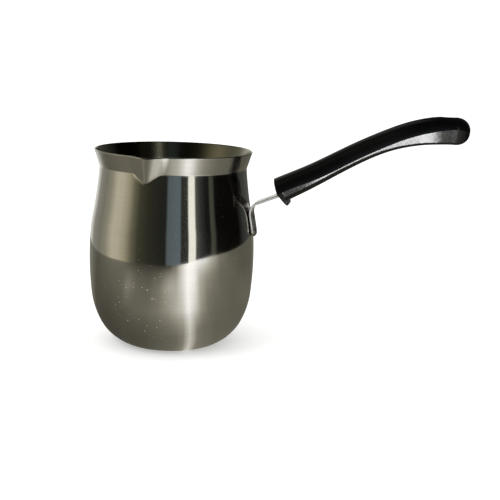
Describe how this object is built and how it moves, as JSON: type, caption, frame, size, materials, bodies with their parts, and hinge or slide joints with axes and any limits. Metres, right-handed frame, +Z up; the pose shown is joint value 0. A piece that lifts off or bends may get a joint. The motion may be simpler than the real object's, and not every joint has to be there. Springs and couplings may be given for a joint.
{
  "type": "turkish coffee pot",
  "caption": "Small drawn steel coffee pot with a flared rim, a pinched pouring spout and a long black handle held on a welded steel strap.",
  "frame": {"origin": "centre of the flat disc on the pot's underside", "axes": "+Z up out of the pot's mouth, +X out along the handle, spout close to -Y"},
  "size_m": [0.218, 0.0984, 0.1405],
  "materials": {
    "pot_steel": "mirror polish above the belly, fine satin below it and on the flared rim",
    "strap_steel": "polished strip",
    "weld_steel": "matt, lightly heat tinted",
    "handle_black": "gloss black moulding with a fine stipple",
    "screw_steel": "plated"
  },
  "bodies": {
    "root": {"pot_body": "pot_steel", "handle_strap": "strap_steel", "spot_welds": "weld_steel", "handle_grip": "handle_black", "handle_screw": "screw_steel"}
  },
  "joints": []
}
